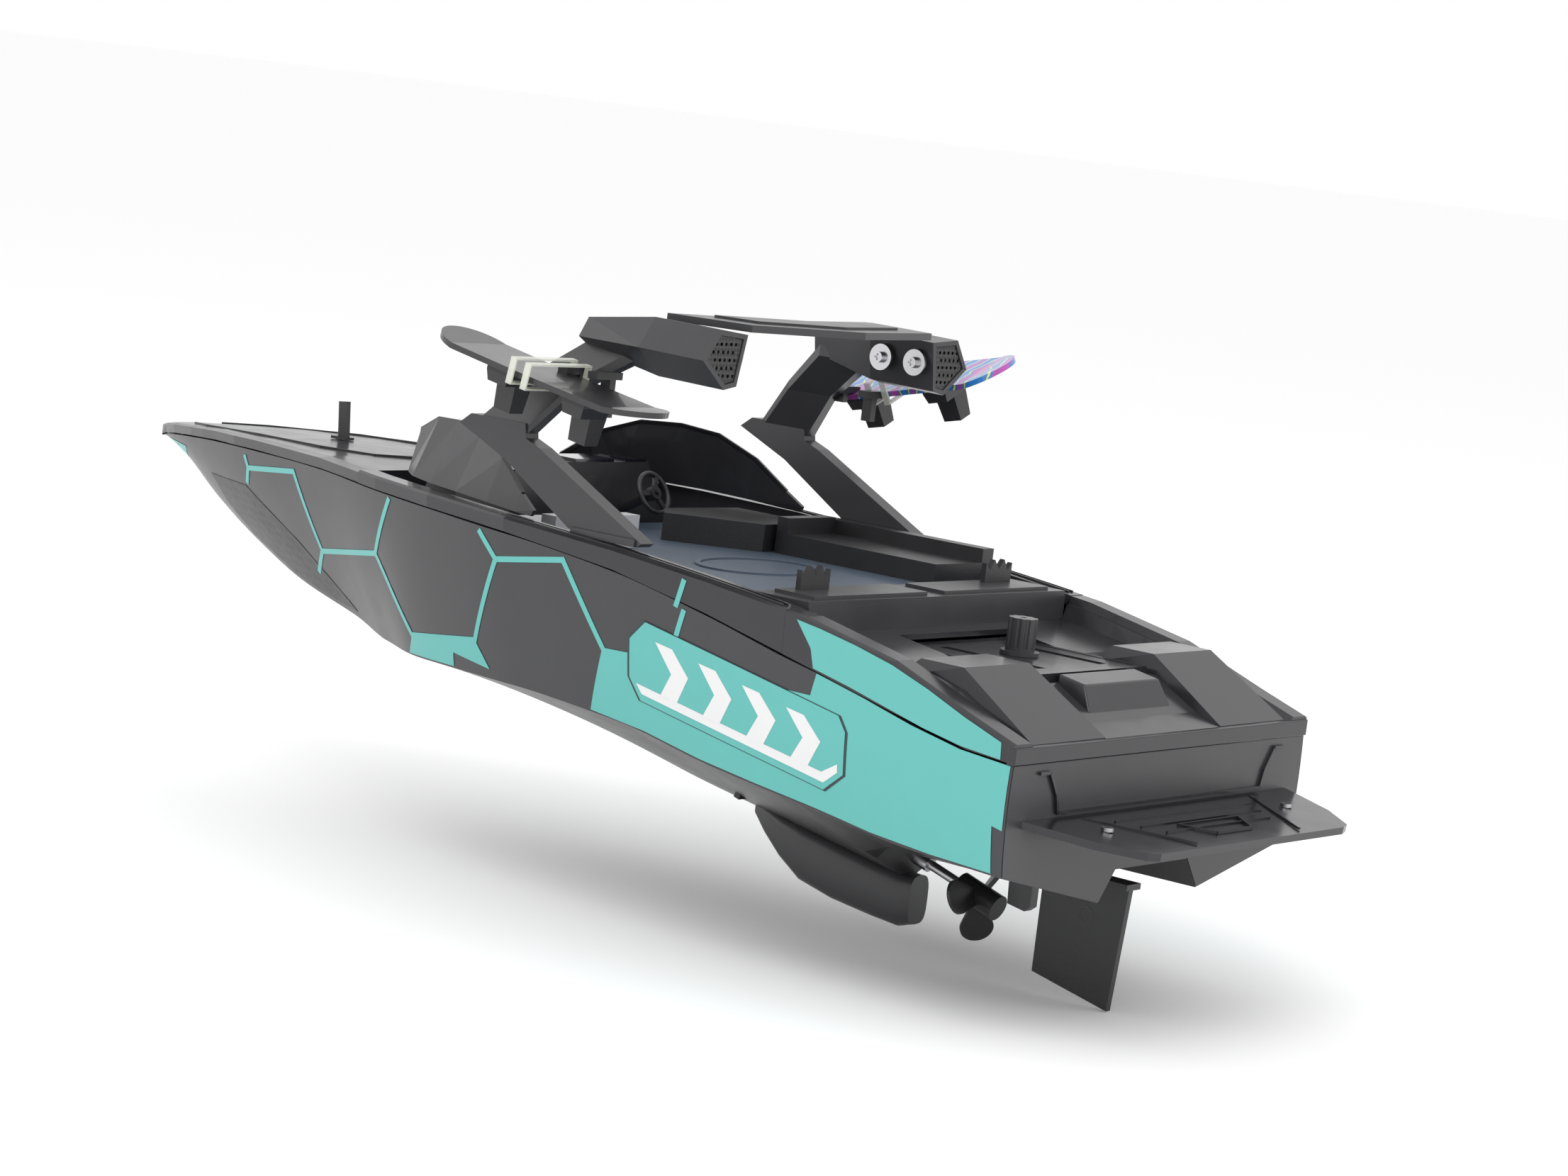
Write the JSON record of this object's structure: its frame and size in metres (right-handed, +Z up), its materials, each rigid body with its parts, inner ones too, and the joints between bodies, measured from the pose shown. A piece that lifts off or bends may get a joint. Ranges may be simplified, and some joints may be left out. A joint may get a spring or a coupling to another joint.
{
  "type": "radio controlled wake boat",
  "caption": "Radio controlled toy wake boat with a faceted hull, open cockpit, swept tower with wakeboards, stern platform, angled propeller shaft and a centre rudder.",
  "frame": {"origin": "middle of the overall length and beam, level with the rudder's lowest point", "axes": "+X toward the bow, +Y to port, +Z up"},
  "size_m": [0.6182, 0.2596, 0.251],
  "materials": {
    "charcoal_plastic": "satin moulded plastic",
    "black_plastic": "matte moulded plastic",
    "floor_plastic": "satin moulded plastic",
    "light_plastic": "satin moulded plastic",
    "board_plastic": "printed gloss plastic",
    "clear_band": "clear elastic band",
    "screen": "gloss dark panel",
    "bright_metal": "bright plated steel",
    "shaft_steel": "brushed steel",
    "brass_part": "turned brass",
    "seal_rubber": "soft black rubber",
    "pcb": "green circuit board",
    "cell_wrap": "blue heat shrink",
    "switch_red": "red gloss plastic"
  },
  "bodies": {
    "boat": {"hull_shell": "charcoal_plastic", "skeg_housing": "charcoal_plastic", "deck_shell": "charcoal_plastic", "aft_deck": "charcoal_plastic", "hatch_rim": "charcoal_plastic", "stern_pad_port": "charcoal_plastic", "stern_pad_starboard": "charcoal_plastic", "cockpit_floor": "floor_plastic", "starboard_bench": "black_plastic", "port_seat": "light_plastic", "helm_seat": "black_plastic", "rear_bench": "charcoal_plastic", "helm_console": "black_plastic", "dash_screen": "screen", "steering_column": "black_plastic", "port_rest_plate": "black_plastic", "starboard_rest_plate": "black_plastic", "bow_post": "black_plastic", "port_windshield": "black_plastic", "starboard_windshield": "black_plastic", "tower_leg_port": "charcoal_plastic", "tower_leg_starboard": "charcoal_plastic", "tower_roof": "charcoal_plastic", "pod_port": "charcoal_plastic", "pod_starboard": "charcoal_plastic", "grille_port": "black_plastic", "grille_starboard": "black_plastic", "pod_washers": "bright_metal", "pod_screws": "bright_metal", "rack_port": "black_plastic", "rack_starboard": "black_plastic", "wakeboard_port": "board_plastic", "wakeboard_starboard": "board_plastic", "bindings_port": "black_plastic", "bindings_starboard": "black_plastic", "board_ties": "clear_band", "swim_platform": "black_plastic", "platform_screws": "bright_metal", "hatch_seal": "seal_rubber", "stern_tube": "shaft_steel", "motor": "shaft_steel", "motor_mount": "black_plastic", "strut_fin": "charcoal_plastic", "rudder_bush": "brass_part", "steering_servo": "black_plastic", "servo_bracket": "black_plastic", "battery_tray": "black_plastic", "battery_pack": "cell_wrap", "circuit_board": "pcb", "power_switch": "switch_red"},
    "drive": {"prop_shaft": "shaft_steel", "propeller": "black_plastic", "shaft_coupler": "brass_part"},
    "rudder_assembly": {"rudder": "black_plastic", "tiller_arm": "shaft_steel"},
    "servo_arm": {"servo_horn": "light_plastic"},
    "link": {"pushrod": "shaft_steel"},
    "hatch": {"aft_hatch": "charcoal_plastic"},
    "knob": {"hatch_knob": "charcoal_plastic"},
    "helm_wheel": {"steering_wheel": "black_plastic"}
  },
  "joints": [
    {"name": "propeller_spin", "type": "hinge", "parent": "boat", "child": "drive", "pos_m": [-0.158, 0, 0.04], "axis": [-0.9578, 0, -0.2874], "continuous": true},
    {"name": "rudder_turn", "type": "hinge", "parent": "boat", "child": "rudder_assembly", "pos_m": [-0.236, 0, 0.05], "axis": [0, 0, 1], "range_deg": [-30, 30]},
    {"name": "servo_turn", "type": "hinge", "parent": "boat", "child": "servo_arm", "pos_m": [-0.192, 0, 0.074], "axis": [0, 0, 1], "range_deg": [-31, 31]},
    {"name": "link_swing", "type": "hinge", "parent": "servo_arm", "child": "link", "pos_m": [-0.192, 0.014, 0.074], "axis": [0, 0, 1], "range_deg": [-31, 31]},
    {"name": "hatch_lift", "type": "slide", "parent": "boat", "child": "hatch", "axis": [0, 0, 1], "range_m": [0, 0.04]},
    {"name": "hatch_knob_turn", "type": "hinge", "parent": "hatch", "child": "knob", "pos_m": [-0.19, 0, 0.132], "axis": [0, 0, 1], "range_deg": [0, 90]},
    {"name": "steering_wheel_turn", "type": "hinge", "parent": "boat", "child": "helm_wheel", "pos_m": [0.04, -0.04, 0.162], "axis": [-0.8829, 0, 0.4695], "range_deg": [-120, 120]}
  ],
  "couplings": [
    {"joint": "servo_turn", "follows": "rudder_turn", "ratio": 1},
    {"joint": "link_swing", "follows": "rudder_turn", "ratio": -1}
  ]
}
